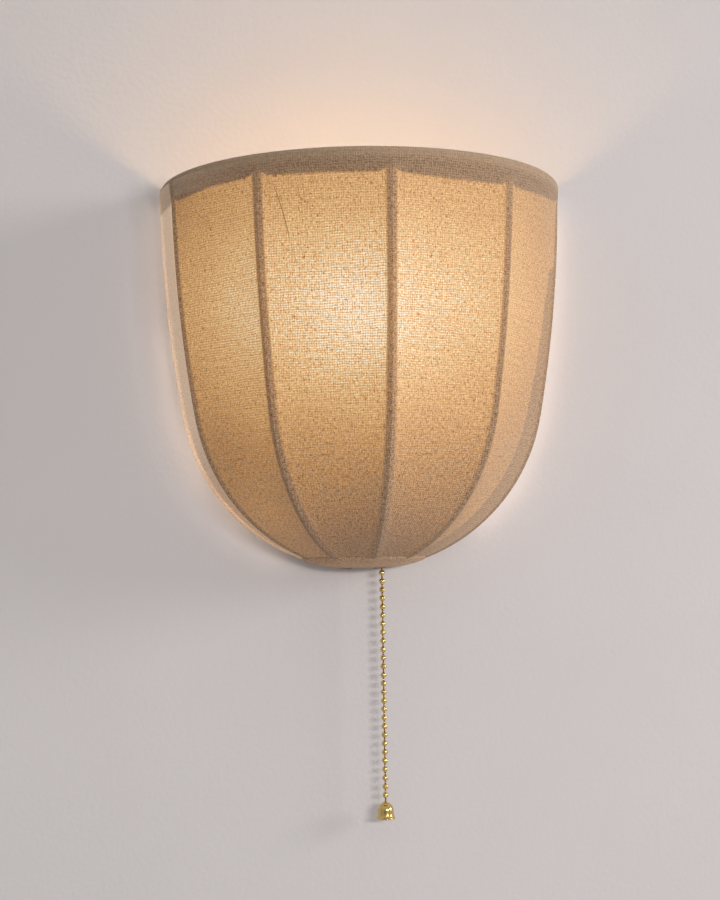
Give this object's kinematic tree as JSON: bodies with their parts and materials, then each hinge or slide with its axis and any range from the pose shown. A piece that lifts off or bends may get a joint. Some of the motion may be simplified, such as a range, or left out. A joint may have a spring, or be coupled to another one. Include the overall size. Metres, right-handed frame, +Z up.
{
  "type": "fabric shade wall light",
  "caption": "Wall light with a half-dome cloth shade stretched over bent wire ribs, open at the top, with a lamp holder inside and a bead pull chain that ends in a small bell.",
  "frame": {"origin": "middle of the two wall screws, on the wall plane, level with the centre of the shade dome", "axes": "+Y into the wall, +X to the right seen from the front, +Z up"},
  "size_m": [0.2154, 0.1177, 0.3381],
  "materials": {
    "shade_cloth": "plain-woven linen",
    "binding_cloth": "linen folded over the wires",
    "white_wire": "powder-coated wire",
    "white_enamel": "satin powder coat",
    "zinc_steel": "zinc plated",
    "brass": "polished, lightly worn",
    "white_plastic": "moulded",
    "ceramic": "glazed",
    "black_glass": "moulded glass",
    "clear_glass": "clear",
    "filament": "phosphor coated",
    "lead_sleeve": "insulated"
  },
  "bodies": {
    "lamp": {"back_wire": "white_wire", "bottom_patch": "binding_cloth", "bottom_plate": "white_wire", "canopy": "white_enamel", "canopy_screws": "white_enamel", "centre_contact": "brass", "earth_screw": "zinc_steel", "edge_hem_left": "binding_cloth", "edge_hem_right": "binding_cloth", "entry_nipple": "zinc_steel", "entry_nuts": "zinc_steel", "fitter": "white_wire", "holder_base": "white_plastic", "holder_insert": "ceramic", "holder_nipple": "zinc_steel", "holder_nut": "zinc_steel", "holder_skirt": "white_plastic", "lamp_bracket": "white_enamel", "leads": "lead_sleeve", "mounting_strap": "zinc_steel", "panel_1": "shade_cloth", "panel_2": "shade_cloth", "panel_3": "shade_cloth", "panel_4": "shade_cloth", "panel_5": "shade_cloth", "panel_6": "shade_cloth", "rib_binding_1": "binding_cloth", "rib_binding_2": "binding_cloth", "rib_binding_3": "binding_cloth", "rib_binding_4": "binding_cloth", "rib_binding_5": "binding_cloth", "rib_wire_1": "white_wire", "rib_wire_2": "white_wire", "rib_wire_3": "white_wire", "rib_wire_4": "white_wire", "rib_wire_5": "white_wire", "rim_hem": "binding_cloth", "rim_wire": "white_wire", "screw_shell": "brass", "shade_ring": "white_plastic", "strap_posts": "zinc_steel", "switch_axle": "zinc_steel", "switch_bush": "brass", "switch_cover": "white_plastic", "switch_housing": "white_plastic", "switch_nut": "brass", "terminal_block": "white_plastic", "terminal_screws": "zinc_steel"},
    "switch_drum_body": {"switch_drum": "ceramic"},
    "pull_chain": {"chain_upper": "brass"},
    "swivel": {"swivel_bead": "brass"},
    "hanging_chain": {"chain_lower": "brass", "bell_bead": "brass", "chain_bell": "brass"},
    "bulb": {"bulb_cap": "zinc_steel", "bulb_filaments": "filament", "bulb_glass": "clear_glass", "bulb_insulator": "black_glass", "bulb_stem": "clear_glass", "bulb_tip": "brass"}
  },
  "joints": [
    {"name": "chain_pull", "type": "slide", "parent": "lamp", "child": "pull_chain", "axis": [0, 0, -1], "range_m": [0, 0.006], "stiffness_N_per_m": 300},
    {"name": "drum_turn", "type": "hinge", "parent": "lamp", "child": "switch_drum_body", "pos_m": [0.0055, -0.012, -0.03798], "axis": [0, 1, 0], "range_deg": [0, 99]},
    {"name": "chain_side_swing", "type": "hinge", "parent": "pull_chain", "child": "swivel", "pos_m": [0.009, -0.012, -0.0994], "axis": [0, 1, 0], "range_deg": [-30, 30]},
    {"name": "chain_lift", "type": "hinge", "parent": "swivel", "child": "hanging_chain", "pos_m": [0.009, -0.012, -0.0994], "axis": [-1, 0, 0], "range_deg": [-2, 40]},
    {"name": "bulb_removal", "type": "slide", "parent": "lamp", "child": "bulb", "axis": [0, 0, 1], "range_m": [0, 0.14]}
  ],
  "couplings": [
    {"joint": "drum_turn", "follows": "chain_pull", "rad_per_m": 285.71}
  ]
}
